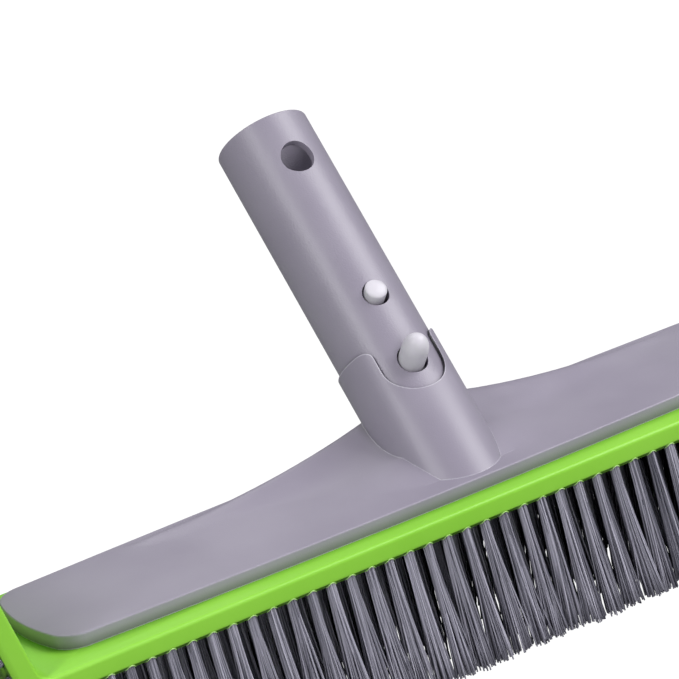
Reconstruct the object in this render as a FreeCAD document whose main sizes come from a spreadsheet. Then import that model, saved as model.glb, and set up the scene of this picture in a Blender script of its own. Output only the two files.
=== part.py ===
import FreeCAD, Part
import math
import os
import Sketcher

# Pool wall brush, in millimetres.
# The origin is the centre of the brushing face: X runs along the brush, Y towards the
# back (the handle leans that way) and Z up, away from the bristle tips.

doc = FreeCAD.newDocument("pool_wall_brush")
sheet = doc.addObject("Spreadsheet::Sheet", "sizes")

DRIVING = [
    # bristle block: a board with upturned ends
    ("board_half", 139.2, "half length of the straight board"),
    ("board_depth", 62.6, "front to back"),
    ("board_thick", 6.6, "board and upturned ends"),
    ("bend_radius", 11.2, "outer radius of the bend into an end"),
    ("end_angle", 75, "degrees that an end turns up"),
    ("end_rise", 38, "straight length of an end above its bend"),
    ("edge_round", 1.2, "round on the board's long top edges"),
    ("lower_round", 2.0, "round on the board's long lower edges"),
    ("tip_round", 2.6, "round on the free edge of an end"),
    # bristles
    ("bristle_len", 37, "root plane to brushing face"),
    ("tuft_pitch", 6.19, "between tufts in a row"),
    ("rows_side", 3, "rows each side of the middle one"),
    ("row_inset", 1.5, "outer rows to the board's long faces"),
    ("end_inset", 2.8, "outer rows to the long faces round the bends and up the ends"),
    ("end_bare", 9, "bare length at the rim of an end"),
    ("tuft_dia", 3.1, "hole for a tuft"),
    ("tuft_depth", 4.9, "depth of a tuft hole"),
    ("tuft_gap", 0.1, "radial gap round a tuft in its hole"),
    ("splay", 12, "degrees that the outer rows lean out"),
    ("flare", 6, "thickness of a row at its tips"),
    ("anchor_thick", 0.4, "staple that holds a tuft"),
    ("anchor_high", 1.4, "staple height"),
    # back plate
    ("plate_half", 129.1, "half length at the corners"),
    ("plate_front", 24.3, "axis of the board to the front edge, at the middle"),
    ("plate_back", 24.2, "axis of the board to the back edge, at the middle"),
    ("front_bow", 2512, "radius of the front edge"),
    ("back_bow", 3900, "radius of the back edge"),
    ("end_bow", 60, "radius of the ends"),
    ("plate_corner", 8.5, "corner radius"),
    ("plate_thick", 4.0, "height above the board"),
    ("plate_round", 0.5, "round on the upper edge"),
    # fin that runs up to the socket
    ("fin_reach", 104, "half length of the fin"),
    ("fin_peak", 13.5, "height that the crest tends to at the middle"),
    ("fin_decay", 42, "length over which the crest falls away"),
    ("fin_drop", 0.6, "how far the fin's ends dip under the plate's top"),
    ("fin_crest", 17.5, "crest behind the board's axis"),
    ("fin_foot", 7.5, "front foot of the fin behind the board's axis, away from the socket"),
    ("swell_foot", 5.9, "the same foot in front of the board's axis, beside the socket"),
    ("swell_high", 5.5, "how far the plate's top swells up to that foot beside the socket"),
    ("swell_decay", 12, "length over which the swell dies away beyond the socket"),
    ("swell_toe", 3.2, "start of the swell behind the plate's front corner"),
    # reinforcement
    ("bar_length", 230, "reinforcement bar"),
    ("bar_wide", 36, "reinforcement bar"),
    ("bar_thick", 2.0, "reinforcement bar"),
    ("bar_shift", 1.0, "bar's centre in front of the board's axis"),
    ("bar_gap", 0.2, "gap round the bar in its channel"),
    # handle
    ("lean", 41.4, "degrees that the handle leans back"),
    ("handle_foot", 10.8, "handle axis in front of the board's axis at the root plane"),
    ("tube_dia", 28.15, "handle tube, outside"),
    ("tube_wall", 2.6, "handle tube"),
    ("tube_end", 122.1, "tube's free end, along its axis"),
    ("tube_lip", 0.9, "round on the tube's free end"),
    ("pole_stop", 66.5, "where the full-size spigot starts"),
    ("spigot_relief", 0.25, "radial relief below the spigot"),
    ("tip_hole_at", 107.2, "cross hole near the free end"),
    ("tip_hole_dia", 9.8, "cross hole near the free end"),
    # socket collar
    ("collar_wall", 0.975, "wall of the socket"),
    ("collar_end", 46.9, "collar's rim, along the handle axis"),
    ("collar_gap", 0.1, "radial gap round the tube in the socket"),
    ("notch_dia", 19.2, "notch in the rim round the press button"),
    ("notch_flare", 3, "round where the notch meets the rim"),
    # plug and pin that hold the tube
    ("plug_gap", 0.05, "radial gap of the plug in the tube"),
    ("plug_end", 29, "top of the plug, along the handle axis"),
    ("spigot_dia", 10, "riveted end of the plug, through the bar"),
    ("pin_at", 21, "cross pin, along the handle axis"),
    ("pin_dia", 5, "cross pin"),
    ("pin_short", 0.4, "how much each end of the pin stops short"),
    # snap clip
    ("clip_pivot", 85, "where the legs flex, along the handle axis"),
    ("clip_root", 1.7, "leg's middle to the handle axis, where it flexes"),
    ("clip_clear", 0.2, "lower corners of a leg to the tube's bore"),
    ("clip_leg", 51.2, "length of a leg"),
    ("clip_thick", 0.8, "clip strip"),
    ("clip_wide", 8, "clip strip"),
    ("clip_gap", 0.05, "gap at the flexing line"),
    ("lock_at", 60.7, "hole of a lock pin, along the handle axis"),
    ("lock_lead", 0.5, "how far above its hole's middle a lock pin leaves the tube"),
    ("lock_dia", 6.4, "lock pin"),
    ("lock_hole_gap", 0.7, "radial gap of a lock pin in its hole"),
    ("lock_proud", 2.0, "lock pin above the tube, along the pin"),
    ("lock_dome", 0.35, "height of the lock pin's dome as a share of its radius"),
    ("press_at", 39.0, "hole of a press button, along the handle axis"),
    ("press_lead", 0.4, "how far above its hole's middle a press button leaves the tube"),
    ("press_dia", 7.7, "press button"),
    ("press_hole_gap", 0.6, "radial gap of a press button in its hole"),
    ("press_proud", 9.2, "press button above the tube, along the button"),
    ("press_dome", 1.4, "height of the press button's dome as a share of its radius"),
    # screws through the board into the bar
    ("screw_dia", 2.6, "board screw, shank"),
    ("screw_head", 5.4, "board screw, head"),
    ("screw_head_high", 1.6, "board screw, head"),
    ("screw_gap", 0.15, "radial gap of a screw in the board"),
    ("screw_inner", 40, "inner screws, about this far from the middle"),
    ("screw_outer", 102, "outer screws, about this far from the middle"),
]

# Sizes that follow from the ones above.
FOLLOWING = [
    ("row_pitch", "(board_depth / 2 - row_inset) / rows_side", "between rows on the straight board"),
    ("end_pitch", "(board_depth / 2 - end_inset) / rows_side", "between rows on the ends"),
    ("tufts_side", "floor(board_half / tuft_pitch)", "tufts each side of the middle one"),
    ("end_length", "end_rise + bend_radius * end_angle * pi / 180", "round the bend and up an end"),
    ("end_tufts", "floor((board_half + end_length - end_bare) / tuft_pitch) - tufts_side",
     "tufts up each end"),
    ("collar_dia", "tube_dia + 2 * collar_gap + 2 * collar_wall", "outside of the socket"),
    ("clip_room", "sqrt((tube_dia / 2 - tube_wall) ^ 2 - clip_wide ^ 2 / 4)",
     "strip's face to the handle axis"),
    ("clip_swing", "clip_room - clip_clear - clip_thick / 2 - clip_root", "how far a leg opens"),
    ("clip_splay", "asin(clip_swing / clip_leg) / 1 deg", "degrees that each leg opens"),
]

value = {}
for line, (alias, content, note) in enumerate(DRIVING + FOLLOWING, start=1):
    sheet.set("A%d" % line, alias)
    sheet.set("B%d" % line, str(content) if (alias, content, note) in DRIVING else "=" + content)
    sheet.setAlias("B%d" % line, alias)
    sheet.set("C%d" % line, note)
    doc.recompute()
    value[alias] = float(sheet.get(alias))
for alias in ("rows_side", "tufts_side", "end_tufts"):
    value[alias] = int(value[alias])

subparts = []


def keep(piece, label):
    """Name a finished sub-part; its label names its file."""
    piece.Label = label
    subparts.append(piece)
    return piece


def bind(piece, **formulas):
    """Bind properties to formulas on the sheet; a word that is an alias gets its prefix."""
    for name, formula in formulas.items():
        piece.setExpression(name.replace("__", "."), on_sheet(formula))
    return piece


def on_sheet(formula):
    """Put the sheet's name in front of every alias in a formula."""
    words = []
    word = ""
    for letter in formula + " ":
        if letter.isalnum() or letter == "_":
            word += letter
            continue
        words.append("sizes." + word if word in value else word)
        words.append(letter)
        word = ""
    return "".join(words).strip()


def place(piece, x="0", y="0", z="0", turn=None, about=(1, 0, 0)):
    """Bind a piece's place, and its turn about one axis."""
    if turn is not None:
        piece.Placement = FreeCAD.Placement(FreeCAD.Vector(), FreeCAD.Rotation(FreeCAD.Vector(*about), 1))
        piece.setExpression("Placement.Rotation.Angle", on_sheet(turn))
    piece.setExpression("Placement.Base.x", on_sheet(x))
    piece.setExpression("Placement.Base.y", on_sheet(y))
    piece.setExpression("Placement.Base.z", on_sheet(z))
    return piece


def box(name, length, width, height, x="0", y="0", z="0"):
    """A box from its low corner."""
    piece = doc.addObject("Part::Box", name)
    bind(piece, Length=length, Width=width, Height=height)
    return place(piece, x, y, z)


def rod(name, diameter, height, x="0", y="0", z="0", turn=None, about=(1, 0, 0)):
    """A cylinder that stands on its base, or is turned about one axis there."""
    piece = doc.addObject("Part::Cylinder", name)
    bind(piece, Radius="(" + diameter + ") / 2", Height=height)
    return place(piece, x, y, z, turn, about)


def cut(name, base, tool):
    piece = doc.addObject("Part::Cut", name)
    piece.Base = base
    piece.Tool = tool
    return piece


def fuse(name, *pieces):
    piece = doc.addObject("Part::MultiFuse", name)
    piece.Shapes = list(pieces)
    piece.Refine = True
    return piece


def common(name, *pieces):
    piece = doc.addObject("Part::MultiCommon", name)
    piece.Shapes = list(pieces)
    return piece


def shaped(name, shape):
    """A feature whose shape is worked out in code."""
    piece = doc.addObject("Part::Feature", name)
    piece.Shape = shape
    return piece


# Places that several pieces share, as formulas on the sheet.
ROOT = "bristle_len"
TOP = "(bristle_len + board_thick)"
BAR_TOP = "(bristle_len + board_thick + bar_thick)"
PLATE_TOP = "(bristle_len + board_thick + plate_thick)"

# The same places as numbers, for the shapes that are worked out in code.
root_z = value["bristle_len"]
top_z = root_z + value["board_thick"]
bar_top_z = top_z + value["bar_thick"]
plate_top_z = top_z + value["plate_thick"]
lean = math.radians(value["lean"])
turn_up = math.radians(value["end_angle"])
X_AXIS = FreeCAD.Vector(1, 0, 0)
Y_AXIS = FreeCAD.Vector(0, 1, 0)


# The handle's own frame: local Z along the tube, local -Y towards the front.
def in_handle(piece):
    """Set a piece that is built about the handle's axis in its place."""
    return place(piece, y="-handle_foot", z=ROOT, turn="-lean")


HANDLE = FreeCAD.Placement(
    FreeCAD.Vector(0, -value["handle_foot"], root_z),
    FreeCAD.Rotation(X_AXIS, -value["lean"]),
)


# ---------------------------------------------------------------- tufts
def row_numbers():
    return range(-value["rows_side"], value["rows_side"] + 1)


def row_lean(row):
    """Angle that a row leans out: none in the middle, the full splay at the edge."""
    return math.radians(value["splay"]) * row / value["rows_side"]


def board_tufts(row):
    """Root and direction (out of the board) of each tuft of a row on the flat board."""
    angle = row_lean(row)
    out = FreeCAD.Vector(0, math.sin(angle), -math.cos(angle))
    for count in range(-value["tufts_side"], value["tufts_side"] + 1):
        root = FreeCAD.Vector(count * value["tuft_pitch"], row * value["row_pitch"], root_z)
        yield root, out


def end_tufts(row, side):
    """Root and direction of each tuft of a row round the bend and up one end."""
    start = value["tufts_side"] * value["tuft_pitch"]
    bend = value["bend_radius"] * turn_up
    for count in range(1, value["end_tufts"] + 1):
        along = start + count * value["tuft_pitch"] - value["board_half"]
        angle = min(max(along, 0) / value["bend_radius"], turn_up)
        climb = max(along - bend, 0)
        x = value["board_half"] + min(along, 0) + value["bend_radius"] * math.sin(angle)
        x += climb * math.cos(turn_up)
        z = root_z + value["bend_radius"] * (1 - math.cos(angle)) + climb * math.sin(turn_up)
        out = FreeCAD.Vector(side * math.sin(angle), 0, -math.cos(angle))
        yield FreeCAD.Vector(side * x, row * value["end_pitch"], z), out


def all_tufts():
    for row in row_numbers():
        yield from board_tufts(row)
        yield from end_tufts(row, -1)
        yield from end_tufts(row, 1)


def tuft_plug(root, out, radius, start, end):
    """A round plug along a tuft's line, from start to end, counted into the board."""
    return Part.makeCylinder(radius, end - start, root - out * start, -out)


# ---------------------------------------------------------------- bristle block
def on_bend(side, radius, angle):
    """A point of an end's bend, in the plane through the board's front face."""
    x = value["board_half"] + radius * math.sin(angle)
    z = root_z + value["bend_radius"] - radius * math.cos(angle)
    return FreeCAD.Vector(side * x, 0, z)


def up_end(side, radius, rise):
    """A point that far up an end's straight wall."""
    along = FreeCAD.Vector(side * math.cos(turn_up), 0, math.sin(turn_up))
    return on_bend(side, radius, turn_up) + along * rise


def bend_and_wall(side, radius, rise):
    """The bend and the straight wall above it, as two edges."""
    halfway = on_bend(side, radius, turn_up / 2)
    arc = Part.Arc(on_bend(side, radius, 0), halfway, on_bend(side, radius, turn_up))
    wall = Part.LineSegment(on_bend(side, radius, turn_up), up_end(side, radius, rise))
    return [arc.toShape(), wall.toShape()]


def line(start, finish):
    return Part.LineSegment(start, finish).toShape()


def block_profile():
    """The board with its two upturned ends, seen from the front."""
    outer = value["bend_radius"]
    inner = outer - value["board_thick"]
    rise = value["end_rise"]
    edges = []
    for side in (1, -1):
        edges += bend_and_wall(side, outer, rise)
        edges += bend_and_wall(side, inner, rise)
        edges.append(line(up_end(side, outer, rise), up_end(side, inner, rise)))
    for radius in (outer, inner):
        edges.append(line(on_bend(-1, radius, 0), on_bend(1, radius, 0)))
    return Part.Face(Part.Wire(Part.__sortEdges__(edges)))


def tuft_hole_cutters():
    """Every tuft hole, as one group of cylinders that start outside the board."""
    radius = value["tuft_dia"] / 2
    return Part.makeCompound([
        tuft_plug(root, out, radius, -radius, value["tuft_depth"]) for root, out in all_tufts()
    ])


def extruded(name, profile, depth):
    """Extrude a face along Y, half to the front and half to the back."""
    piece = doc.addObject("Part::Extrusion", name)
    piece.Base = profile
    piece.DirMode = "Custom"
    piece.Dir = Y_AXIS
    piece.Solid = True
    bind(piece, LengthFwd=depth + " / 2", LengthRev=depth + " / 2")
    return piece


def edge_numbers(shape, test):
    """Numbers of the edges whose every sampled point passes a test."""
    chosen = []
    for number, edge in enumerate(shape.Edges, start=1):
        points = edge.discretize(5)
        if all(test(point) for point in points):
            chosen.append(number)
    return chosen


def fillet(name, base, groups):
    """Round some edges: groups is a list of (edge numbers, radius)."""
    piece = doc.addObject("Part::Fillet", name)
    piece.Base = base
    piece.Edges = [(number, radius, radius) for numbers, radius in groups for number in numbers]
    return piece


def outside_of_board(point):
    """True on the bristle side of the board and of its ends."""
    if abs(point.x) <= value["board_half"] + 0.01:
        return point.z < root_z + 0.01
    centre = FreeCAD.Vector(value["board_half"], 0, root_z + value["bend_radius"])
    offset = FreeCAD.Vector(abs(point.x), 0, point.z) - centre
    across = offset.x * math.sin(turn_up) - offset.z * math.cos(turn_up)
    return max(offset.Length, across) > value["bend_radius"] - 0.01 and across > 0


def inside_of_board(point):
    """True on the top of the board and on the inner faces of its ends."""
    if point.z < top_z - 0.01:
        return False
    if abs(point.x) <= value["board_half"] + 0.01:
        return True
    centre = FreeCAD.Vector(value["board_half"], 0, root_z + value["bend_radius"])
    offset = FreeCAD.Vector(abs(point.x), 0, point.z) - centre
    inner = value["bend_radius"] - value["board_thick"]
    across = offset.x * math.sin(turn_up) - offset.z * math.cos(turn_up)
    return offset.Length < inner + 0.01 or across < inner + 0.01


def screw_places():
    """Screws between the tufts, either side of the middle row."""
    for away in (value["screw_inner"], value["screw_outer"]):
        x = (math.floor(away / value["tuft_pitch"]) + 0.5) * value["tuft_pitch"]
        for side in (-1, 1):
            for row in (-0.5, 0.5):
                yield side * x, row * value["row_pitch"]


def screw_shape(x, y, gap):
    """One board screw with its head flush in the bristle side, or its hole with a gap."""
    seat = FreeCAD.Vector(x, y, root_z)
    head = Part.makeCylinder(value["screw_head"] / 2 + gap, value["screw_head_high"] + gap, seat)
    shank = Part.makeCylinder(value["screw_dia"] / 2 + gap, bar_top_z - root_z, FreeCAD.Vector(x, y, root_z))
    return head.fuse(shank).removeSplitter()


def screw_group(gap):
    return Part.makeCompound([screw_shape(x, y, gap) for x, y in screw_places()])


profile = shaped("block_profile", block_profile())
blank = extruded("block_blank", profile, "board_depth")
doc.recompute()
face_y = value["board_depth"] / 2
upper_long = edge_numbers(blank.Shape, lambda p: abs(abs(p.y) - face_y) < 0.01 and inside_of_board(p))
lower_long = edge_numbers(blank.Shape, lambda p: abs(abs(p.y) - face_y) < 0.01 and outside_of_board(p))
rim_z = up_end(1, value["bend_radius"], value["end_rise"]).z
rim_edges = edge_numbers(blank.Shape, lambda p: abs(p.z - rim_z) < 4 and abs(p.y) < face_y + 0.01)
rim_edges = [n for n in rim_edges if blank.Shape.Edges[n - 1].Length > value["board_depth"] - 1]
rounded = fillet("block_rounded", blank, [
    (upper_long, value["edge_round"]),
    (lower_long, value["lower_round"]),
    (rim_edges, value["tip_round"]),
])
holes = shaped("tuft_holes", tuft_hole_cutters())
drilled = cut("block_drilled", rounded, holes)
block = cut("bristle_block", drilled, shaped("screw_holes", screw_group(value["screw_gap"])))
keep(block, "bristle_block")


# ---------------------------------------------------------------- reinforcement bar
# The handle's axis crosses the top of the bar here.
SPIGOT_Y = "-handle_foot + (board_thick + bar_thick) * tan(lean)"
spigot_y = -value["handle_foot"] + (bar_top_z - root_z) * math.tan(lean)


def origin_plane(body, role):
    return next(f for f in body.Origin.OriginFeatures if f.Role == role)


def new_sketch(body, name):
    """A sketch on the body's own XY plane."""
    sketch = body.newObject("Sketcher::SketchObject", name)
    sketch.AttachmentSupport = [(origin_plane(body, "XY_Plane"), "")]
    sketch.MapMode = "FlatFace"
    return sketch


def pad(body, name, sketch, length):
    feature = body.newObject("PartDesign::Pad", name)
    feature.Profile = sketch
    bind(feature, Length=length)
    return feature


def sized(sketch, kind, items, formula, name, first_guess):
    """Add a constraint whose size follows a formula on the sheet."""
    index = sketch.addConstraint(Sketcher.Constraint(kind, *items, first_guess))
    sketch.renameConstraint(index, name)
    sketch.setExpression("Constraints." + name, on_sheet(formula))


def middle_rectangle(sketch, wide, deep):
    """A rectangle about the sketch's origin; wide and deep are aliases."""
    half_x = value[wide] / 2
    half_y = value[deep] / 2
    corners = [FreeCAD.Vector(x * half_x, y * half_y, 0) for x, y in ((-1, -1), (1, -1), (1, 1), (-1, 1))]
    for count in range(4):
        sketch.addGeometry(Part.LineSegment(corners[count], corners[(count + 1) % 4]), False)
    for count in range(4):
        sketch.addConstraint(Sketcher.Constraint("Coincident", count, 2, (count + 1) % 4, 1))
        sketch.addConstraint(Sketcher.Constraint("Horizontal" if count % 2 == 0 else "Vertical", count))
    sketch.addConstraint(Sketcher.Constraint("Symmetric", 0, 1, 1, 2, -1, 1))
    sized(sketch, "Distance", (0,), wide, "wide", value[wide])
    sized(sketch, "Distance", (1,), deep, "deep", value[deep])


bar_body = doc.addObject("PartDesign::Body", "bar_body")
bar_sketch = new_sketch(bar_body, "bar_sketch")
middle_rectangle(bar_sketch, "bar_length", "bar_wide")
pad(bar_body, "bar_pad", bar_sketch, "bar_thick")
place(bar_body, y="-bar_shift", z=TOP)
spigot_hole = rod("spigot_hole", "spigot_dia", "bar_thick + 2", y=SPIGOT_Y, z="board_thick + bristle_len - 1")
bar_holes = fuse("bar_holes", spigot_hole, shaped("bar_screw_holes", screw_group(0)))
keep(cut("reinforcement_bar", bar_body, bar_holes), "reinforcement_bar")

screws = keep(shaped("board_screws", screw_group(0)), "board_screws")


# ---------------------------------------------------------------- back plate
def plate_outline(sketch):
    """Front, right, back and left edges as four arcs through the plate's sharp corners."""
    half = value["plate_half"]
    corner_front = -value["plate_front"] + sagitta("front_bow")
    corner_back = value["plate_back"] - sagitta("back_bow")
    corners = [
        FreeCAD.Vector(-half, corner_front, 0),
        FreeCAD.Vector(half, corner_front, 0),
        FreeCAD.Vector(half, corner_back, 0),
        FreeCAD.Vector(-half, corner_back, 0),
    ]
    end_sag = value["end_bow"] - math.sqrt(value["end_bow"] ** 2 - ((corner_back - corner_front) / 2) ** 2)
    middle_y = (corner_front + corner_back) / 2
    middles = [
        FreeCAD.Vector(0, -value["plate_front"], 0),
        FreeCAD.Vector(half + end_sag, middle_y, 0),
        FreeCAD.Vector(0, value["plate_back"], 0),
        FreeCAD.Vector(-half - end_sag, middle_y, 0),
    ]
    for count in range(4):
        sketch.addGeometry(Part.Arc(corners[count], middles[count], corners[(count + 1) % 4]), False)
    return corners


def sagitta(bow):
    """How far a bowed long edge falls back from its middle to a corner."""
    radius = value[bow]
    return radius - math.sqrt(radius ** 2 - value["plate_half"] ** 2)


def end_of_arc(sketch, number, corner):
    """Which end of an arc lies at a corner: 1 for its start, 2 for its end."""
    return min((1, 2), key=lambda end: sketch.getPoint(number, end).distanceToPoint(corner))


plate_body = doc.addObject("PartDesign::Body", "plate_body")
plate_sketch = new_sketch(plate_body, "plate_sketch")
plate_corners = plate_outline(plate_sketch)
SAG_FRONT = "(front_bow - sqrt(front_bow ^ 2 - plate_half ^ 2))"
SAG_BACK = "(back_bow - sqrt(back_bow ^ 2 - plate_half ^ 2))"
for number in range(4):
    corner = plate_corners[(number + 1) % 4]
    following = (number + 1) % 4
    here = end_of_arc(plate_sketch, number, corner)
    there = end_of_arc(plate_sketch, following, corner)
    plate_sketch.addConstraint(Sketcher.Constraint("Coincident", number, here, following, there))
for number, alias in ((0, "front_bow"), (1, "end_bow"), (2, "back_bow"), (3, "end_bow")):
    sized(plate_sketch, "Radius", (number,), alias, "bow_%d" % number, value[alias])
front_right = end_of_arc(plate_sketch, 0, plate_corners[1])
front_left = end_of_arc(plate_sketch, 0, plate_corners[0])
back_right = end_of_arc(plate_sketch, 2, plate_corners[2])
back_left = end_of_arc(plate_sketch, 2, plate_corners[3])
sized(plate_sketch, "DistanceX", (-1, 1, 0, front_right), "plate_half", "front_right", value["plate_half"])
sized(plate_sketch, "DistanceX", (-1, 1, 2, back_right), "plate_half", "back_right", value["plate_half"])
sized(plate_sketch, "DistanceX", (0, front_left, -1, 1), "plate_half", "front_left", value["plate_half"])
sized(plate_sketch, "DistanceX", (2, back_left, -1, 1), "plate_half", "back_left", value["plate_half"])
for number, point, name in ((0, front_right, "front_y"), (0, front_left, "front_y_left")):
    sized(plate_sketch, "DistanceY", (number, point, -1, 1), "plate_front - " + SAG_FRONT, name, 21)
for number, point, name in ((2, back_right, "back_y"), (2, back_left, "back_y_left")):
    sized(plate_sketch, "DistanceY", (-1, 1, number, point), "plate_back - " + SAG_BACK, name, 22)
plate_pad = pad(plate_body, "plate_pad", plate_sketch, "plate_thick")
doc.recompute()
corner_edges = ["Edge%d" % n for n in edge_numbers(
    plate_pad.Shape, lambda p: abs(abs(p.x) - value["plate_half"]) < 0.01)]
corner_round = plate_body.newObject("PartDesign::Fillet", "plate_corners")
corner_round.Base = (plate_pad, corner_edges)
bind(corner_round, Radius="plate_corner")
doc.recompute()
upper_edges = ["Edge%d" % n for n in edge_numbers(
    corner_round.Shape, lambda p: abs(p.z - value["plate_thick"]) < 0.01)]
upper_round = plate_body.newObject("PartDesign::Fillet", "plate_upper_edge")
upper_round.Base = (corner_round, upper_edges)
bind(upper_round, Radius="plate_round")
place(plate_body, z=TOP)


def fin_height(x):
    """Height of the fin's crest above the plate: steep at the socket, just under it at the reach."""
    share = min(abs(x) / value["fin_reach"], 1)
    swell = value["fin_peak"] * math.exp(-abs(x) / value["fin_decay"])
    return swell * (1 - share ** 2) - value["fin_drop"] * share ** 2


def swell(x):
    """Share of the swell beside the socket that is left at one place along the plate."""
    beyond = max(abs(x) - value["collar_dia"] / 2, 0)
    return math.exp(-beyond / value["swell_decay"])


def fin_section(x):
    """Closed outline of the swell and the fin across the plate at one place along it."""
    sink = value["plate_thick"] / 2
    high = plate_top_z + fin_height(x)
    foot = value["fin_foot"] - (value["fin_foot"] + value["swell_foot"]) * swell(x)
    crease = plate_top_z + value["swell_high"] * swell(x) - value["fin_drop"] * (1 - swell(x))
    toe = -value["plate_front"] + sagitta("front_bow") + value["swell_toe"]
    crest = value["fin_crest"]
    heel = value["plate_back"] - sagitta("back_bow") - value["plate_round"]
    low = plate_top_z - sink
    rise = high - plate_top_z
    climb = high - crease
    upper = Part.BSplineCurve()
    upper.interpolate([
        FreeCAD.Vector(x, foot, crease),
        FreeCAD.Vector(x, foot + 0.3 * (crest - foot), crease + 0.2 * climb),
        FreeCAD.Vector(x, foot + 0.7 * (crest - foot), crease + 0.7 * climb),
        FreeCAD.Vector(x, crest, high),
        FreeCAD.Vector(x, crest + 0.6 * (heel - crest), plate_top_z + 0.62 * rise),
        FreeCAD.Vector(x, heel, low),
    ])
    corners = [(heel, low), (toe, low), (toe, plate_top_z - value["fin_drop"]), (foot, crease)]
    points = [FreeCAD.Vector(x, y, z) for y, z in corners]
    straight = [Part.LineSegment(start, end).toShape() for start, end in zip(points, points[1:])]
    return Part.Wire([upper.toShape()] + straight)


def fin_shape():
    """The fin, lofted through sections that crowd towards the socket."""
    steps = 9
    places = [value["fin_reach"] * (1 - count / steps) ** 1.5 for count in range(steps)]
    halves = []
    for side in (-1, 1):
        sections = [fin_section(side * x) for x in places + [0]]
        halves.append(Part.makeLoft(sections, True))
    return halves[0].fuse(halves[1]).removeSplitter()


fin = shaped("fin", fin_shape())
LONG = "(collar_end + plate_front * 2)"
slab = box("above_board", "4 * plate_half", "8 * plate_back", LONG, "-2 * plate_half", "-4 * plate_back",
           TOP + " + plate_thick / 2")
socket_rod = in_handle(rod("socket_rod", "collar_dia", "collar_end"))
socket_rod = common("socket_above_board", socket_rod, slab)
joined = fuse("plate_with_socket", plate_body, fin, socket_rod)
below_bar = box("below_bar_top", "4 * plate_half", "8 * plate_back", LONG,
                "-2 * plate_half", "-4 * plate_back", BAR_TOP + " - " + LONG)
bore_rod = in_handle(rod("socket_bore_rod", "tube_dia + 2 * collar_gap", LONG))
passage = cut("socket_bore", bore_rod, below_bar)
channel = box("bar_channel", "bar_length + 2 * bar_gap", "bar_wide + 2 * bar_gap", "bar_thick + bar_gap",
              "-bar_length / 2 - bar_gap", "-bar_shift - bar_wide / 2 - bar_gap", TOP)
NOTCH_DEEP = "(collar_dia + 2)"
notch_round = rod("notch_round", "notch_dia", NOTCH_DEEP, y=NOTCH_DEEP + " / 2", z="press_at", turn="90")
notch_mouth = box("notch_mouth", "notch_dia", NOTCH_DEEP, "collar_end - press_at + 1", "-notch_dia / 2",
                  "-" + NOTCH_DEEP + " / 2", "press_at")
flare_box = box("flare_box", "notch_dia + 2 * notch_flare", NOTCH_DEEP, "notch_flare + 1",
                "-notch_dia / 2 - notch_flare", "-" + NOTCH_DEEP + " / 2", "collar_end - notch_flare")
lobes = [
    rod("notch_lobe", "2 * notch_flare", NOTCH_DEEP + " + 2", x="(notch_dia / 2 + notch_flare) * %d" % side,
        y=NOTCH_DEEP + " / 2 + 1", z="collar_end - notch_flare", turn="90")
    for side in (-1, 1)
]
notch_flares = cut("notch_flares", flare_box, fuse("notch_lobes", *lobes))
notch = in_handle(fuse("notch", notch_round, notch_mouth, notch_flares))
back_plate = cut("back_plate", joined, fuse("plate_cuts", passage, channel, notch))
keep(back_plate, "back_plate")


# ---------------------------------------------------------------- handle tube
TUBE_BORE = "(tube_dia - 2 * tube_wall)"
ACROSS = "(tube_dia + 2)"


def across_rod(name, diameter, at):
    """A cylinder through the tube from front to back, in the handle's frame."""
    return rod(name, diameter, ACROSS, y=ACROSS + " / 2", z=at, turn="90")


def sideways_rod(name, diameter, length, at):
    """A cylinder through the tube from side to side, in the handle's frame."""
    return rod(name, diameter, length, x="-" + length + " / 2", z=at, turn="90", about=(0, 1, 0))


spigot = rod("tube_spigot", "tube_dia", "tube_end - pole_stop", z="pole_stop")
lower_tube = rod("tube_lower", "tube_dia - 2 * spigot_relief", "pole_stop")
tube_solid = fuse("tube_solid", spigot, lower_tube)
doc.recompute()
free_end = edge_numbers(tube_solid.Shape, lambda p: abs(p.z - value["tube_end"]) < 0.01)
tube_outer = fillet("tube_outer", tube_solid, [(free_end, value["tube_lip"])])
tube_cuts = fuse(
    "tube_cuts",
    rod("tube_bore", TUBE_BORE, "tube_end + 2", z="-1"),
    across_rod("tip_hole", "tip_hole_dia", "tip_hole_at"),
    across_rod("lock_hole", "lock_dia + 2 * lock_hole_gap", "lock_at"),
    across_rod("press_hole", "press_dia + 2 * press_hole_gap", "press_at"),
    sideways_rod("tube_pin_hole", "pin_dia", ACROSS, "pin_at"),
)
tube_whole = in_handle(cut("tube_whole", tube_outer, tube_cuts))
handle_tube = cut("handle_tube", tube_whole, below_bar)
keep(handle_tube, "handle_tube")


# ---------------------------------------------------------------- plug and cross pin
plug_rod = rod("plug_rod", TUBE_BORE + " - 2 * plug_gap", "plug_end")
plug_pin_hole = sideways_rod("plug_pin_hole", "pin_dia", ACROSS, "pin_at")
plug_drilled = in_handle(cut("plug_drilled", plug_rod, plug_pin_hole))
plug_trimmed = cut("plug_trimmed", plug_drilled, below_bar)
plug_spigot = rod("plug_spigot", "spigot_dia", "bar_thick + 3", y=SPIGOT_Y, z=TOP)
keep(fuse("handle_plug", plug_trimmed, plug_spigot), "handle_plug")

PIN_LONG = "(tube_dia - 2 * pin_short)"
pin_solid = sideways_rod("pin_solid", "pin_dia", PIN_LONG, "pin_at")
pin_bore = sideways_rod("pin_bore", "pin_dia / 2", ACROSS, "pin_at")
keep(in_handle(cut("cross_pin", pin_solid, pin_bore)), "cross_pin")


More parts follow.
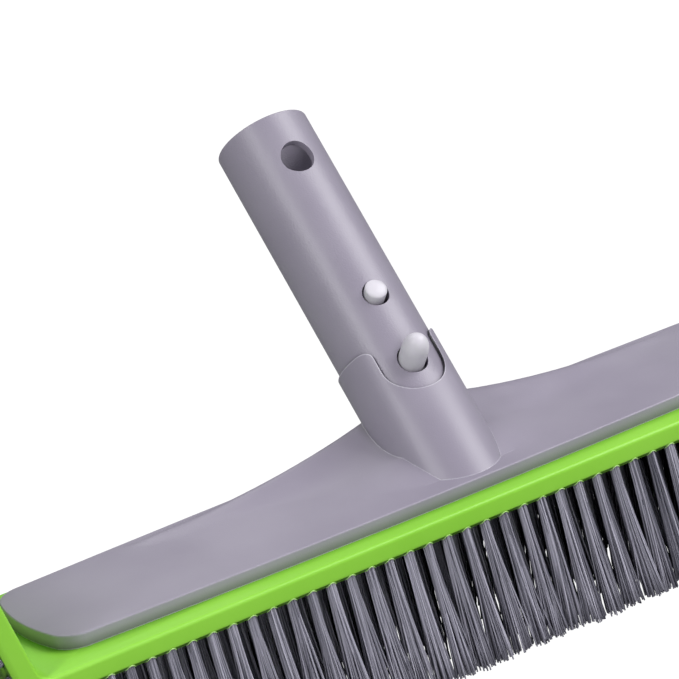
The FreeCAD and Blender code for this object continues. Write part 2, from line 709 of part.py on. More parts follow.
# ---------------------------------------------------------------- snap clip
# The clip is one strip bent to a V.  Its bend stays still; each leg flexes at clip_pivot.
BEND_Z = "clip_pivot + clip_thick / 2 + clip_gap"
BEND_OUT = "(2 * clip_root + clip_thick)"
bend_outer = rod("clip_bend_outer", BEND_OUT, "clip_wide", x="-clip_wide / 2",
                 z=BEND_Z, turn="90", about=(0, 1, 0))
bend_inner = rod("clip_bend_inner", "2 * clip_root - clip_thick", "clip_wide + 2", x="-clip_wide / 2 - 1",
                 z=BEND_Z, turn="90", about=(0, 1, 0))
bend_lower = box("clip_bend_lower", "clip_wide + 4", "2 * " + BEND_OUT, BEND_OUT, "-clip_wide / 2 - 2",
                 "-" + BEND_OUT, BEND_Z + " - " + BEND_OUT)
bend_ring = cut("clip_ring", bend_outer, bend_inner)
keep(in_handle(cut("clip_bend", bend_ring, bend_lower)), "clip_bend")


def in_leg(piece, side):
    """Set a piece that is built about a leg's flexing line in its place; side is -1 in front, 1 behind."""
    y = "-handle_foot + clip_root * cos(lean) * %d + clip_pivot * sin(lean)" % side
    z = ROOT + " - clip_root * sin(lean) * %d + clip_pivot * cos(lean)" % side
    return place(piece, y=y, z=z, turn="-lean + clip_splay * %d" % side)


def clip_leg(name, side):
    """One leg with its rounded root at the flexing line."""
    strip = box(name + "_strip", "clip_wide", "clip_thick", "clip_leg", "-clip_wide / 2", "-clip_thick / 2",
                "-clip_leg")
    root = rod(name + "_root", "clip_thick", "clip_wide", x="-clip_wide / 2", turn="90", about=(0, 1, 0))
    return keep(in_leg(fuse(name, strip, root), side), name)


def domed_button(name, side, alias):
    """A round button that stands square on a leg and comes out through the tube, with a domed end."""
    down = "(clip_pivot - %s_at - %s_lead + (tube_dia / 2 - clip_root) * tan(clip_splay))" % (alias, alias)
    down += " * cos(clip_splay)"
    long = "((tube_dia / 2 - clip_root - %s * sin(clip_splay)) / cos(clip_splay) + %s_proud)" % (down, alias)
    dome = "(%s_dia / 2 * %s_dome)" % (alias, alias)
    stem = rod(name + "_stem", alias + "_dia", "%s - clip_thick / 2 - %s" % (long, dome),
               y="clip_thick / 2 * %d" % side, z="-" + down, turn="90 * %d" % -side)
    end = doc.addObject("Part::Ellipsoid", name + "_end")
    bind(end, Radius1=dome, Radius2=alias + "_dia / 2", Radius3=alias + "_dia / 2")
    end.Angle1 = 0
    place(end, y="(%s - %s) * %d" % (long, dome, side), z="-" + down, turn="90 * %d" % -side)
    return keep(in_leg(fuse(name, stem, end), side), name)


for side, where in ((-1, "front"), (1, "rear")):
    clip_leg(where + "_clip_leg", side)
    domed_button(where + "_lock_pin", side, "lock")
    domed_button(where + "_press_button", side, "press")


# ---------------------------------------------------------------- bristles
def strip_face(row):
    """Cross-section of one row: as thick as a tuft at the root, flared and leaning at the tips."""
    middle = row * value["row_pitch"]
    tip = middle + value["bristle_len"] * math.tan(row_lean(row))
    root_half = value["tuft_dia"] / 2 - value["tuft_gap"]
    tip_half = value["flare"] / 2
    corners = [
        FreeCAD.Vector(0, middle - root_half, root_z),
        FreeCAD.Vector(0, middle + root_half, root_z),
        FreeCAD.Vector(0, tip + tip_half, 0),
        FreeCAD.Vector(0, tip - tip_half, 0),
    ]
    return Part.Face(Part.makePolygon(corners + corners[:1]))


def rooted(shape, tufts):
    """Join the tufts' roots, which fill their holes up to the anchors, to a row's solid."""
    radius = value["tuft_dia"] / 2 - value["tuft_gap"]
    deep = value["tuft_depth"] - value["anchor_high"]
    return shape.fuse([tuft_plug(root, out, radius, -2 * radius, deep) for root, out in tufts])


def board_row(row):
    """The straight part of one row as one plain solid."""
    half = value["tufts_side"] * value["tuft_pitch"] + value["tuft_dia"] / 2
    face = strip_face(row)
    face.translate(FreeCAD.Vector(-half, 0, 0))
    return rooted(face.extrude(FreeCAD.Vector(2 * half, 0, 0)), board_tufts(row))


def end_row(row, side):
    """The part of one row that fans round a bend and up an end, as one plain solid."""
    last = value["end_tufts"] * value["tuft_pitch"] + value["tufts_side"] * value["tuft_pitch"]
    climb = last - value["board_half"] - value["bend_radius"] * turn_up + value["tuft_dia"]
    outer = value["bend_radius"] + value["bristle_len"]
    inner = value["bend_radius"]
    edges = bend_and_wall(side, outer, climb) + bend_and_wall(side, inner, climb)
    edges.append(line(up_end(side, outer, climb), up_end(side, inner, climb)))
    edges.append(line(on_bend(side, outer, 0), on_bend(side, inner, 0)))
    face = Part.Face(Part.Wire(Part.__sortEdges__(edges)))
    thick = value["flare"] * 0.75
    face.translate(FreeCAD.Vector(0, row * value["end_pitch"] - thick / 2, 0))
    return rooted(face.extrude(FreeCAD.Vector(0, thick, 0)), end_tufts(row, side))


def anchor(root, out):
    """The flat staple at the bottom of one tuft hole."""
    wide = value["tuft_dia"] - 4 * value["tuft_gap"]
    blade = Part.makeBox(wide, value["anchor_thick"], value["anchor_high"],
                         FreeCAD.Vector(-wide / 2, -value["anchor_thick"] / 2, -value["anchor_high"]))
    turn = FreeCAD.Rotation(FreeCAD.Vector(0, 0, 1), -out)
    blade.Placement = FreeCAD.Placement(root - out * value["tuft_depth"], turn)
    return blade


for number, row in enumerate(row_numbers(), start=1):
    keep(shaped("bristle_row_%d" % number, board_row(row)), "bristle_row_%d" % number)
for side, where in ((-1, "left"), (1, "right")):
    fan = Part.makeCompound([end_row(row, side) for row in row_numbers()])
    keep(shaped(where + "_end_bristles", fan), where + "_end_bristles")
anchors = Part.makeCompound([anchor(root, out) for root, out in all_tufts()])
keep(shaped("tuft_anchors", anchors), "tuft_anchors")


# ---------------------------------------------------------------- check and write
doc.recompute()
for piece in doc.Objects:
    if "Invalid" in piece.State or "Error" in piece.State:
        raise SystemExit("feature failed: " + piece.Label)
for piece in subparts:
    if piece.Shape.isNull() or not piece.Shape.isValid():
        raise SystemExit("shape is not valid: " + piece.Label)

os.makedirs("parts", exist_ok=True)
for piece in subparts:
    piece.Shape.exportStep("parts/%s.step" % piece.Label)
    print("%-24s %3d solids %9.1f mm3" % (piece.Label, len(piece.Shape.Solids), piece.Shape.Volume))
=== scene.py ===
# %% [markdown]
# # A pool wall brush
# The real brush is a moulded lime green board with upturned ends, a grey back plate that
# rises into a socket, a grey tube that leans back, a snap clip in the tube and several
# hundred tufts of nylon.  The hard pieces come from the CAD frame.  This script gives them
# their finish and plants every tuft as separate filaments.

# %% Load the frame
import math

import bmesh
import bpy
import numpy as np
from mathutils import Matrix, Vector


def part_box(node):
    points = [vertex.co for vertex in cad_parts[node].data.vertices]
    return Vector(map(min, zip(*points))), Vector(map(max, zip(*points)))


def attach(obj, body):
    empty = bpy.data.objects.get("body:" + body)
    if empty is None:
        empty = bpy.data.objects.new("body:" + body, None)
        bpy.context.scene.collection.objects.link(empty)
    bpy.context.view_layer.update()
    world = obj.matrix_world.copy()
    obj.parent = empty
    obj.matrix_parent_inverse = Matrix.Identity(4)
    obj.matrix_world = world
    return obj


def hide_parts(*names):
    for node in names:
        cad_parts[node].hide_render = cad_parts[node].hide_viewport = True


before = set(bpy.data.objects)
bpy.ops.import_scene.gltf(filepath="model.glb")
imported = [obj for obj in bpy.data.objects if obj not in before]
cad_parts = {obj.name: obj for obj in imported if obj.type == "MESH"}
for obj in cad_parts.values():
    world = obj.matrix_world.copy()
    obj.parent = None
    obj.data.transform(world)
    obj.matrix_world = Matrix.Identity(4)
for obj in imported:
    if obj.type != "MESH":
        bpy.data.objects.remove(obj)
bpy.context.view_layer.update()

MM = 0.001

# %% [markdown]
# ## Camera
# A long lens from the left front, a little above the board, and rolled so that the handle
# runs up the picture.  A place and three angles are easier to read and to change than a
# matrix, so the camera's axes are worked out from them.

# %% Camera
VIEW_TURN = math.radians(27.043)
VIEW_DROP = math.radians(19.965)
VIEW_ROLL = math.radians(11.109)
VIEW_PLACE = Vector((-514.17, -960.96, 482.25)) * MM
LENS = 223.8
SENSOR = 36.0


def camera_axes(turn, drop, roll):
    """Right, up and backward directions of a camera that looks down the given angles."""
    level = math.cos(drop)
    ahead = Vector((math.sin(turn) * level, math.cos(turn) * level, -math.sin(drop)))
    right = ahead.cross(Vector((0, 0, 1))).normalized()
    up = right.cross(ahead)
    tilt = Matrix.Rotation(roll, 3, ahead)
    return tilt @ right, tilt @ up, -ahead


def make_camera():
    """The scene's camera, without depth of field."""
    data = bpy.data.cameras.new("camera")
    data.lens = LENS
    data.sensor_width = SENSOR
    data.clip_end = 20
    camera = bpy.data.objects.new("camera", data)
    bpy.context.scene.collection.objects.link(camera)
    right, up, back = camera_axes(VIEW_TURN, VIEW_DROP, VIEW_ROLL)
    axes = Matrix((right, up, back)).transposed()
    camera.matrix_world = Matrix.Translation(VIEW_PLACE) @ axes.to_4x4()
    bpy.context.scene.camera = camera
    return camera


camera = make_camera()
print("camera right", [round(v, 3) for v in camera.matrix_world.col[0][:3]])

# %% [markdown]
# ## Stage
# A plain pale floor.  Seen straight on it is almost white, as on a light table, but it
# throws little light back, so the undersides and the left of the tube stay dark.

# %% Floor
FLOOR_SIZE = 16.0
FLOOR_DROP = 0.2 * MM
PAPER = (0.30, 0.30, 0.31, 1)
GLOW = 1.05


def link(thing):
    """Put an object in the scene."""
    bpy.context.scene.collection.objects.link(thing)
    return thing


def floor_material():
    """Pale paper that the camera sees brighter than the object does."""
    material = bpy.data.materials.new("studio_floor")
    material.use_nodes = True
    nodes, links = material.node_tree.nodes, material.node_tree.links
    paper = nodes["Principled BSDF"]
    paper.inputs["Base Color"].default_value = PAPER
    paper.inputs["Roughness"].default_value = 0.9
    glow = nodes.new("ShaderNodeEmission")
    glow.inputs["Color"].default_value = (1, 1, 1, 1)
    glow.inputs["Strength"].default_value = GLOW
    path = nodes.new("ShaderNodeLightPath")
    mix = nodes.new("ShaderNodeMixShader")
    links.new(path.outputs["Is Camera Ray"], mix.inputs["Fac"])
    links.new(paper.outputs["BSDF"], mix.inputs[1])
    links.new(glow.outputs["Emission"], mix.inputs[2])
    links.new(mix.outputs["Shader"], nodes["Material Output"].inputs["Surface"])
    return material


def make_floor():
    """A square floor just under the bristles' tips."""
    data = bpy.data.meshes.new("floor")
    half = FLOOR_SIZE / 2
    corners = [(-half, -half, 0), (half, -half, 0), (half, half, 0), (-half, half, 0)]
    data.from_pydata(corners, [], [(0, 1, 2, 3)])
    floor = link(bpy.data.objects.new("floor", data))
    floor.location.z = -FLOOR_DROP
    data.materials.append(floor_material())


make_floor()
print("floor", FLOOR_SIZE, "m wide")

# %% [markdown]
# ## Lights
# Two soft boxes draw the tube's two long highlights: a broad one, high on the right, which
# also lights the plate's front edge, and a narrow strip on the left.

# %% Lights
AIM = Vector((0, 0, 0.06))


def soft_light(name, place, wide, tall, power):
    """A rectangular soft box that faces the object."""
    data = bpy.data.lights.new(name, "AREA")
    data.shape = "RECTANGLE"
    data.size = wide
    data.size_y = tall
    data.energy = power
    lamp = link(bpy.data.objects.new(name, data))
    lamp.location = place
    lamp.rotation_euler = (AIM - Vector(place)).to_track_quat("-Z", "Y").to_euler()


def make_world(strength):
    """A faint cool sky, so that no shadow is quite black."""
    world = bpy.data.worlds.new("studio")
    world.use_nodes = True
    sky = world.node_tree.nodes["Background"]
    sky.inputs["Color"].default_value = (0.93, 0.96, 1.0, 1)
    sky.inputs["Strength"].default_value = strength
    bpy.context.scene.world = world


make_world(0.20)
soft_light("key_right", (0.86, -0.44, 1.00), 0.90, 0.75, 14)
soft_light("strip_left", (-0.91, -0.34, 0.85), 0.10, 0.6, 5.6)
soft_light("front_fill", (-0.20, -1.40, 0.35), 0.9, 0.5, 5.5)
soft_light("top_back", (0.1, 0.9, 1.1), 0.9, 0.7, 3.5)
bpy.context.scene.view_settings.view_transform = "Standard"

# %% [markdown]
# ## Finishes
# Every finish starts from the same fine grain, so the grain is one node group with its own
# scale and depth.  It puts out a normal and a mask; colours and shaders stay in the material.

# %% Grain group
def grain_group():
    """A node group: fine grain as a normal, and a slow cloudy mask."""
    group = bpy.data.node_groups.new("moulded_grain", "ShaderNodeTree")
    for socket in ("Grain Scale", "Grain Depth", "Cloud Scale"):
        group.interface.new_socket(socket, in_out="INPUT", socket_type="NodeSocketFloat")
    group.interface.new_socket("Normal", in_out="OUTPUT", socket_type="NodeSocketVector")
    group.interface.new_socket("Cloud", in_out="OUTPUT", socket_type="NodeSocketFloat")
    nodes, links = group.nodes, group.links
    start = nodes.new("NodeGroupInput")
    end = nodes.new("NodeGroupOutput")
    place = nodes.new("ShaderNodeTexCoord")
    grain = nodes.new("ShaderNodeTexNoise")
    grain.inputs["Detail"].default_value = 3
    cloud = nodes.new("ShaderNodeTexNoise")
    cloud.inputs["Detail"].default_value = 4
    bump = nodes.new("ShaderNodeBump")
    bump.inputs["Strength"].default_value = 1
    links.new(place.outputs["Object"], grain.inputs["Vector"])
    links.new(place.outputs["Object"], cloud.inputs["Vector"])
    links.new(start.outputs["Grain Scale"], grain.inputs["Scale"])
    links.new(start.outputs["Cloud Scale"], cloud.inputs["Scale"])
    links.new(start.outputs["Grain Depth"], bump.inputs["Distance"])
    links.new(grain.outputs["Fac"], bump.inputs["Height"])
    links.new(bump.outputs["Normal"], end.inputs["Normal"])
    links.new(cloud.outputs["Fac"], end.inputs["Cloud"])
    return group


GRAIN = grain_group()

# %% Small node helpers
WHITE, BLACK = (1, 1, 1), (0, 0, 0)
MASK_MIDDLE = (0.3, 0.7)


def ramp(nodes, links, source, low, high, colours):
    """A colour ramp between two positions of a mask."""
    node = nodes.new("ShaderNodeValToRGB")
    for element, position, colour in zip(node.color_ramp.elements, (low, high), colours):
        element.position = position
        element.color = (*colour, 1)
    links.new(source, node.inputs["Fac"])
    return node.outputs["Color"]


def span(nodes, links, source, low, high):
    """Map the middle of a mask to low..high."""
    node = nodes.new("ShaderNodeMapRange")
    for socket, number in zip(("From Min", "From Max", "To Min", "To Max"), (*MASK_MIDDLE, low, high)):
        node.inputs[socket].default_value = number
    links.new(source, node.inputs["Value"])
    return node.outputs["Result"]


def mixed(nodes, links, source, factor, colour):
    """Mix a colour into another by a mask."""
    node = nodes.new("ShaderNodeMix")
    node.data_type = "RGBA"
    node.inputs["B"].default_value = (*colour, 1)
    links.new(source, node.inputs["A"])
    links.new(factor, node.inputs["Factor"])
    return node.outputs["Result"]

# %% [markdown]
# A finish can take painted shade towards its joints, found by ambient occlusion, and a painted highlight
# on its edges.
# The highlight mask compares the true normal with one that a bevel shader has rounded.

# %% A finish from a few values
CLOUD_RANGE = (0.35, 0.65)
# Reach and ramp of the painted shade near joints.
SHADE_REACH = 4.5 * MM
SHADE_RANGE = (0.25, 0.85)
# Width and ramp of the painted highlight on edges.
HIGHLIGHT_REACH = 0.45 * MM
HIGHLIGHT_RANGE = (0.90, 0.985)


def painted_shade_mask(nodes, links):
    """White where another surface is close: the mask of the painted shade."""
    corner = nodes.new("ShaderNodeAmbientOcclusion")
    corner.inputs["Distance"].default_value = SHADE_REACH
    return ramp(nodes, links, corner.outputs["AO"], *SHADE_RANGE, (WHITE, BLACK))


def painted_highlight_mask(nodes, links):
    """White along the edges: the mask of the painted highlight."""
    rounded = nodes.new("ShaderNodeBevel")
    rounded.inputs["Radius"].default_value = HIGHLIGHT_REACH
    facing = nodes.new("ShaderNodeNewGeometry")
    agreement = nodes.new("ShaderNodeVectorMath")
    agreement.operation = "DOT_PRODUCT"
    links.new(rounded.outputs["Normal"], agreement.inputs[0])
    links.new(facing.outputs["True Normal"], agreement.inputs[1])
    return ramp(nodes, links, agreement.outputs["Value"], *HIGHLIGHT_RANGE, (WHITE, BLACK))


def finish(name, colours, rough, grain_scale, grain_depth, cloud_scale,
           metallic=0.0, painted_shade=None, painted_highlight=None):
    """A material from two colours, a roughness range and a grain, with optional painted shade near
    joints and a painted highlight on edges.
    """
    material = bpy.data.materials.new(name)
    material.use_nodes = True
    nodes, links = material.node_tree.nodes, material.node_tree.links
    shader = nodes["Principled BSDF"]
    grain = nodes.new("ShaderNodeGroup")
    grain.node_tree = GRAIN
    grain.inputs["Grain Scale"].default_value = grain_scale
    grain.inputs["Grain Depth"].default_value = grain_depth
    grain.inputs["Cloud Scale"].default_value = cloud_scale
    colour = ramp(nodes, links, grain.outputs["Cloud"], *CLOUD_RANGE, colours)
    # Painted shade, darker where another surface is close.
    if painted_shade:
        colour = mixed(nodes, links, colour, painted_shade_mask(nodes, links), painted_shade)
    # A painted highlight, paler along the edges.
    if painted_highlight:
        colour = mixed(nodes, links, colour, painted_highlight_mask(nodes, links), painted_highlight)
    links.new(colour, shader.inputs["Base Color"])
    links.new(span(nodes, links, grain.outputs["Cloud"], *rough), shader.inputs["Roughness"])
    links.new(grain.outputs["Normal"], shader.inputs["Normal"])
    shader.inputs["Metallic"].default_value = metallic
    return material

# %% The finishes
LIME = ((0.27, 0.67, 0.04), (0.31, 0.72, 0.055))
SATIN = ((0.31, 0.28, 0.355), (0.345, 0.315, 0.39))
NYLON = ((0.68, 0.65, 0.72), (0.74, 0.71, 0.78))
STEEL = ((0.52, 0.53, 0.55), (0.64, 0.65, 0.67))
ALUMINIUM = ((0.72, 0.73, 0.75), (0.8, 0.81, 0.83))

# The contact colours are painted shade near joints; the plate's is tinted green as a painted reflection
# of the board.
lime = finish("lime_moulding", LIME, (0.34, 0.42), 900, 0.03 * MM, 18, painted_shade=(0.06, 0.26, 0.004))
satin = finish("satin_grey", SATIN, (0.33, 0.40), 2200, 0.07 * MM, 25, painted_shade=(0.17, 0.155, 0.20))
# The plate's edge colour is a painted highlight along its rims.
plate_satin = finish("plate_grey", SATIN, (0.36, 0.44), 2600, 0.035 * MM, 25,
                     painted_shade=(0.13, 0.135, 0.12), painted_highlight=(0.62, 0.59, 0.68))
nylon = finish("button_nylon", NYLON, (0.38, 0.48), 1800, 0.02 * MM, 120)
steel = finish("spring_steel", STEEL, (0.25, 0.4), 2500, 0.01 * MM, 300, metallic=1.0)
aluminium = finish("mill_aluminium", ALUMINIUM, (0.3, 0.45), 1500, 0.01 * MM, 80, metallic=1.0)
print("finishes:", [m.name for m in (lime, satin, plate_satin, nylon, steel, aluminium)])

# %% Hand the finishes out
def wear(node_name, material):
    """Give a CAD node its finish."""
    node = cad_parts[node_name]
    node.data.materials.clear()
    node.data.materials.append(material)


WEARS = {
    nylon: ["front_lock_pin", "front_press_button", "rear_lock_pin", "rear_press_button"],
    steel: ["board_screws", "cross_pin", "clip_bend", "front_clip_leg", "rear_clip_leg", "tuft_anchors"],
    aluminium: ["reinforcement_bar", "handle_plug"],
}
for material, names in WEARS.items():
    for name in names:
        wear(name, material)
    print(material.name, "on", ", ".join(names))

# %% [markdown]
# ## Softened edges
# A moulding never has knife edges.  The board, the plate and the tube are copied from the
# CAD mesh, their sharp edges are bevelled and the copies take the CAD pieces' places.

# %% Copy and bevel
WELD = 0.004 * MM
SMOOTH_BELOW = math.radians(38)


def softened(node_name, width, material, reshape=None, shade=None, sharp_from=35, shortest=0):
    """A copy of a CAD piece with its sharp edges bevelled; it replaces the piece."""
    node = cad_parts[node_name]
    data = node.data.copy()
    data.transform(node.matrix_world)
    data.materials.clear()
    data.materials.append(material)
    mesh = bmesh.new()
    mesh.from_mesh(data)
    if reshape:
        reshape(mesh)
    bmesh.ops.remove_doubles(mesh, verts=mesh.verts, dist=WELD)
    between = [e for e in mesh.edges if len(e.link_faces) == 2 and e.calc_length() > shortest]
    sharp = [e for e in between if e.calc_face_angle() > math.radians(sharp_from)]
    bmesh.ops.bevel(mesh, geom=sharp, offset=width, segments=2, profile=0.6,
                    affect="EDGES", clamp_overlap=True)
    mesh.to_mesh(data)
    mesh.free()
    data.shade_smooth()
    data.set_sharp_from_angle(angle=SMOOTH_BELOW)
    if shade:
        shade(data)
    piece = link(bpy.data.objects.new(node_name + "_soft", data))
    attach(piece, "brush")
    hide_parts(node_name)
    print(piece.name, len(sharp), "edges softened,", len(data.polygons), "faces")

# %% [markdown]
# The tube has two needs of its own.  Below its spigot it is a hair thinner, which would show
# as a step, and its long facets would show as streaks in the gloss.

# %% The tube's relief
HANDLE_FOOT = Vector((0, -10.8, 37)) * MM
HANDLE_LEAN = math.radians(41.4)
HANDLE_AXIS = Vector((0, math.sin(HANDLE_LEAN), math.cos(HANDLE_LEAN)))
TUBE_RADIUS = 28.15 / 2 * MM
RELIEF = 0.25 * MM
SPIGOT_START = 66.5 * MM


def even_out(mesh):
    """Bring the relief below the spigot out to the tube's full size, so that no step shows."""
    for vertex in mesh.verts:
        offset = vertex.co - HANDLE_FOOT
        height = offset.dot(HANDLE_AXIS)
        away = offset - HANDLE_AXIS * height
        if away.length > TUBE_RADIUS - 1.5 * RELIEF and height < SPIGOT_START + WELD:
            vertex.co = HANDLE_FOOT + HANDLE_AXIS * height + away.normalized() * TUBE_RADIUS

# %% The tube's shading
FACING_OUT = 0.8


def true_round(data):
    """Point the tube's outer normals straight away from its axis, so that no facet shows."""
    corners = np.array([loop.vertex_index for loop in data.loops])
    points = np.array([v.co for v in data.vertices])[corners]
    normals = np.array([n.vector for n in data.corner_normals])
    offset = points - np.array(HANDLE_FOOT)
    axis = np.array(HANDLE_AXIS)
    away = offset - np.outer(offset @ axis, axis)
    radius = np.linalg.norm(away, axis=1)
    loops = [p.loop_total for p in data.polygons]
    faces = np.repeat([np.array(p.normal) for p in data.polygons], loops, axis=0)
    outward = away / np.maximum(radius, MM)[:, None]
    wall = (radius > TUBE_RADIUS - 1.2 * RELIEF) & (np.sum(faces * outward, axis=1) > FACING_OUT)
    normals[wall] = outward[wall]
    data.normals_split_custom_set(normals.tolist())

# %% Soften the three mouldings
softened("bristle_block", 0.18 * MM, lime, shortest=0.8 * MM)
softened("back_plate", 0.30 * MM, plate_satin, sharp_from=22)
softened("handle_tube", 0.30 * MM, satin, even_out, true_round)

# %% [markdown]
# ## Tufts
# A tuft is a bundle of stiff filaments, folded round a staple and pushed into its hole.  It
# is round and tight at the root and spreads towards the tips, where the filaments are cut
# to one plane but never quite level.  A particle system would give hair, which does not
# export as a mesh, so the filaments are built as thin tubes with arrays.

# %% Where the tufts stand
TUFT_PITCH = 6.19 * MM
TUFTS_SIDE = 22
ROWS_SIDE = 3
BOARD_FACE = 62.6 / 2 * MM
ROW_INSET = 1.5 * MM
END_INSET = 2.8 * MM
ROW_PITCH = (BOARD_FACE - ROW_INSET) / ROWS_SIDE
END_PITCH = (BOARD_FACE - END_INSET) / ROWS_SIDE
END_TUFTS = 7
SPLAY = math.radians(12)
BOARD_HALF = 139.2 * MM
BEND_RADIUS = 11.2 * MM
END_ANGLE = math.radians(75)
TUFT_RADIUS = 1.5 * MM
ROOT_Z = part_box("bristle_block")[0].z
print("root plane at", round(ROOT_Z / MM, 2), "mm")


def board_tufts(row):
    """Root, outward direction and length of each tuft of a row on the flat board."""
    angle = SPLAY * row / ROWS_SIDE
    out = Vector((0, math.sin(angle), -math.cos(angle)))
    for count in range(-TUFTS_SIDE, TUFTS_SIDE + 1):
        yield Vector((count * TUFT_PITCH, row * ROW_PITCH, ROOT_Z)), out, ROOT_Z / math.cos(angle)


def end_tufts(row, side):
    """The same round the bend and up one end, where the row fans out."""
    bend = BEND_RADIUS * END_ANGLE
    for count in range(1, END_TUFTS + 1):
        along = (TUFTS_SIDE + count) * TUFT_PITCH - BOARD_HALF
        angle = min(max(along, 0) / BEND_RADIUS, END_ANGLE)
        climb = max(along - bend, 0)
        x = BOARD_HALF + min(along, 0) + BEND_RADIUS * math.sin(angle) + climb * math.cos(END_ANGLE)
        z = ROOT_Z + BEND_RADIUS * (1 - math.cos(angle)) + climb * math.sin(END_ANGLE)
        lean = SPLAY * row / ROWS_SIDE * 0.5
        level = math.cos(lean)
        out = Vector((side * math.sin(angle) * level, math.sin(lean), -math.cos(angle) * level))
        yield Vector((side * x, row * END_PITCH, z)), out, ROOT_Z

# %% [markdown]
# A tuft isn't an even cone.  Its filaments stay tight near the root, hang together in a few
# bundles that drift apart, bow a little, and a few of them stray.

# %% Centre lines of one tuft
FILAMENT_RADIUS = 0.215 * MM
STEPS = 7
SUNK = 1.6 * MM
TIGHT = 0.16
FLARE, FLARE_SPREAD = 1.25, 0.25
LEAN = 0.5 * MM
BUNDLES = 4
DRIFT = 0.75 * MM
STRAY = 0.30 * MM
STRAY_SHARE = 0.05
STRAY_FAR = 5
BOW = 0.2 * MM
CUT_SPREAD = 0.022
LOWEST = 0.02 * MM


def disc_points(count, radius, random):
    """Points spread evenly over a disc, slightly shaken."""
    turn = math.pi * (3 - math.sqrt(5))
    index = np.arange(count) + 0.5
    reach = radius * np.sqrt(index / count)
    angle = index * turn + random.uniform(0, 2 * math.pi)
    points = np.stack([reach * np.cos(angle), reach * np.sin(angle)], axis=1)
    return points + random.normal(0, radius * 0.04, points.shape)


def tuft_lines(root, out, length, count, random):
    """Centre lines of one tuft's filaments, as an array of count by STEPS points."""
    out = np.array(out)
    across = np.cross(out, (0.0, 1.0, 0.0))
    across /= np.linalg.norm(across)
    deep = np.cross(out, across)
    start = disc_points(count, TUFT_RADIUS - FILAMENT_RADIUS, random)
    share = np.linspace(0, 1, STEPS)
    loose = np.clip((share - TIGHT) / (1 - TIGHT), 0, 1)
    flare = random.normal(FLARE, FLARE_SPREAD)
    lean = random.normal(0, LEAN, 2)
    bundle = random.integers(0, BUNDLES, count)
    drift = random.normal(0, DRIFT, (BUNDLES, 2))[bundle]
    stray = random.normal(0, STRAY, (count, 2))
    stray[random.random(count) < STRAY_SHARE] *= STRAY_FAR
    bow = random.normal(0, BOW, (count, 2))
    reach = length * (1 - np.abs(random.normal(0, CUT_SPREAD, count)))
    sideways = start[:, None, :] * (1 + flare * loose[None, :, None] ** 1.25)
    sideways = sideways + (stray + drift + lean)[:, None, :] * loose[None, :, None] ** 1.5
    sideways = sideways + bow[:, None, :] * np.sin(np.pi * share)[None, :, None]
    along = -SUNK + (reach[:, None] + SUNK) * share[None, :]
    lines = np.array(root) + along[:, :, None] * out
    lines = lines + sideways[:, :, 0, None] * across + sideways[:, :, 1, None] * deep
    lines[:, :, 2] = np.maximum(lines[:, :, 2], LOWEST)
    return lines

# %% Thin tubes round many lines
SIDES = 4
HELPER = np.array((0.31, 0.94, 0.12))


def filament_mesh(name, lines, radius, tone):
    """One mesh of thin tubes round many centre lines; tone is stored for the finish."""
    count, steps, _ = lines.shape
    along = np.gradient(lines, axis=1)
    along /= np.linalg.norm(along, axis=2, keepdims=True)
    one = np.cross(along, HELPER)
    one /= np.linalg.norm(one, axis=2, keepdims=True)
    two = np.cross(along, one)
    angles = np.linspace(0, 2 * math.pi, SIDES, endpoint=False)
    ring = one[:, :, None, :] * np.cos(angles)[None, None, :, None]
    ring = ring + two[:, :, None, :] * np.sin(angles)[None, None, :, None]
    points = lines[:, :, None, :] + ring * radius
    first = np.arange(count)[:, None, None] * steps * SIDES
    step = np.arange(steps - 1)[None, :, None] * SIDES
    side = np.arange(SIDES)[None, None, :]
    after = (side + 1) % SIDES
    quads = np.stack([first + step + side, first + step + after,
                      first + step + SIDES + after, first + step + SIDES + side], axis=-1).reshape(-1, 4)
    last = np.arange(count)[:, None] * steps * SIDES + (steps - 1) * SIDES
    caps = last + np.arange(SIDES)[None, :]
    faces = quads.tolist() + caps.tolist()
    data = bpy.data.meshes.new(name)
    data.from_pydata(points.reshape(-1, 3).tolist(), [], faces)
    data.attributes.new("tone", "FLOAT", "POINT").data.foreach_set(
        "value", np.repeat(tone, steps * SIDES).astype(np.float32))
    data.polygons.foreach_set("use_smooth", [True] * len(faces))
    data.update()
    return link(bpy.data.objects.new(name, data))

# %% Filament finish
FILAMENT_TONES = ((0.10, 0.098, 0.13), (0.52, 0.505, 0.60))


def filament_finish():
    """Grey nylon in which each filament has its own tone and gloss."""
    material = bpy.data.materials.new("grey_filament")
    material.use_nodes = True
    nodes, links = material.node_tree.nodes, material.node_tree.links
    shader = nodes["Principled BSDF"]
    tone = nodes.new("ShaderNodeAttribute")
    tone.attribute_name = "tone"
    colour = ramp(nodes, links, tone.outputs["Fac"], 0.0, 1.0, FILAMENT_TONES)
    links.new(colour, shader.inputs["Base Color"])
    links.new(span(nodes, links, tone.outputs["Fac"], 0.3, 0.45), shader.inputs["Roughness"])
    return material


FILAMENT = filament_finish()

# %% Plant one set
OUTER_TONE = 0.5
# Darker tone of the inner rows: painted shade.
INNER_SHADED_TONE = 0.15
TONE_SPREAD = 0.3


def plant(name, tufts, per_tuft, seed, replaced, tone_middle=OUTER_TONE):
    """Plant a set of tufts as one mesh that takes a CAD piece's place."""
    random = np.random.default_rng(seed)
    lines = np.concatenate([tuft_lines(*tuft, per_tuft, random) for tuft in tufts])
    tone = np.clip(random.normal(tone_middle, TONE_SPREAD, len(lines)), 0, 1)
    piece = filament_mesh(name, lines, FILAMENT_RADIUS, tone)
    piece.data.materials.append(FILAMENT)
    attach(piece, "brush")
    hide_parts(replaced)
    print(name, len(lines), "filaments")
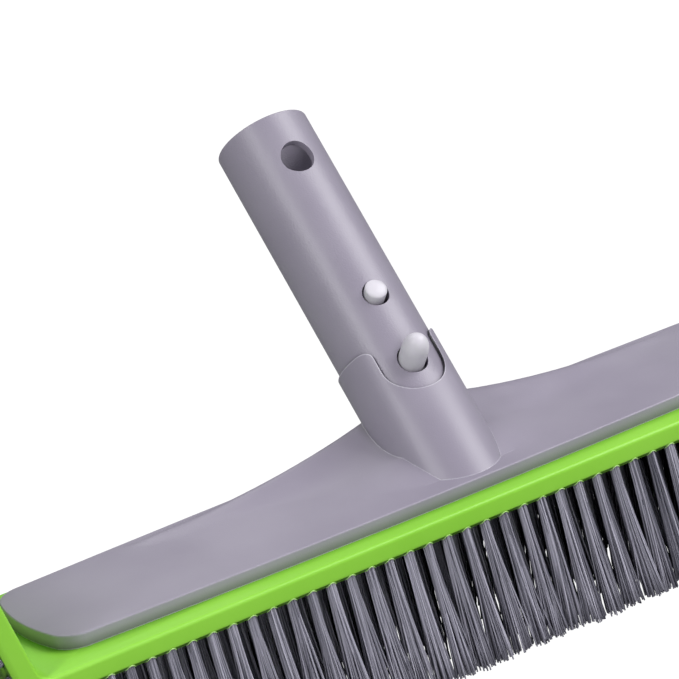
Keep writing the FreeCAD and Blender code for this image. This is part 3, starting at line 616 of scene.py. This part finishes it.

# %% [markdown]
# The inner rows are seen only through the gaps, so they have fewer filaments, and darker ones,
# painted shade for the light that hardly reaches them.

# %% Plant the rows
OUTER_COUNT = 56
INNER_COUNT = 34
ROWS = range(-ROWS_SIDE, ROWS_SIDE + 1)
ROW_SEED = 10
END_SEED = 30
for number, row in enumerate(ROWS, start=1):
    outer = abs(row) == ROWS_SIDE
    count = OUTER_COUNT if outer else INNER_COUNT
    tone = OUTER_TONE if outer else INNER_SHADED_TONE
    replaced = "bristle_row_%d" % number
    plant("row_%d_tufts" % number, board_tufts(row), count, ROW_SEED + number, replaced, tone)
for side, where in ((-1, "left"), (1, "right")):
    tufts = [tuft for row in ROWS for tuft in end_tufts(row, side)]
    plant(where + "_end_tufts", tufts, INNER_COUNT, END_SEED + side, where + "_end_bristles")

# %% [markdown]
# ## Lips of the outer holes
# The outer rows' holes break out of the board's rounded lower edge.  The mould leaves a
# thin raised lip round each arch.  Every lip is a bent wire that follows the line where the
# hole's wall meets the rounded edge, found by halving an interval.

# %% Line of one lip
LOWER_ROUND = 2.0 * MM
LIP_RADIUS = 1.6 * MM
LIP_WIRE = 0.19 * MM
LIP_REACH = 1.25
LIP_STEPS = 9
HALVINGS = 20


def edge_height(y):
    """Height of the board's lower surface at each y, with its rounded long edge."""
    past = np.clip(np.abs(y) - (BOARD_FACE - LOWER_ROUND), 0, LOWER_ROUND)
    return ROOT_Z + LOWER_ROUND - np.sqrt(LOWER_ROUND ** 2 - past ** 2)


def lip_line(root, out):
    """Points of one lip, over the outward half of its hole."""
    facing = math.copysign(1, root.y)
    outward = np.array((0, facing * -out.z, facing * out.y))
    angle = np.linspace(-LIP_REACH, LIP_REACH, LIP_STEPS)[:, None]
    ring = np.array(root) + LIP_RADIUS * (np.sin(angle) * (1, 0, 0) + np.cos(angle) * outward)
    low, high = np.full(LIP_STEPS, -LOWER_ROUND / 2), np.full(LIP_STEPS, LOWER_ROUND * 1.5)
    for _ in range(HALVINGS):
        middle = (low + high) / 2
        point = ring - middle[:, None] * np.array(out)
        inside = point[:, 2] > edge_height(point[:, 1])
        high = np.where(inside, middle, high)
        low = np.where(inside, low, middle)
    return ring - low[:, None] * np.array(out)

# %% All the lips
# The lips' paler lime is a painted highlight; the raised lips themselves are real.
LIME_WITH_PAINTED_HIGHLIGHT = ((0.46, 0.80, 0.20), (0.56, 0.86, 0.30))
outer_tufts = [tuft for row in (-ROWS_SIDE, ROWS_SIDE) for tuft in board_tufts(row)]
lips = np.array([lip_line(root, out) for root, out, _ in outer_tufts])
lip_piece = filament_mesh("hole_lips", lips, LIP_WIRE, np.full(len(lips), OUTER_TONE))
lip_piece.data.materials.append(finish("lip_painted_highlight", LIME_WITH_PAINTED_HIGHLIGHT, (0.3, 0.4), 900, 0.02 * MM, 200))
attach(lip_piece, "brush")
print(len(lips), "lips")
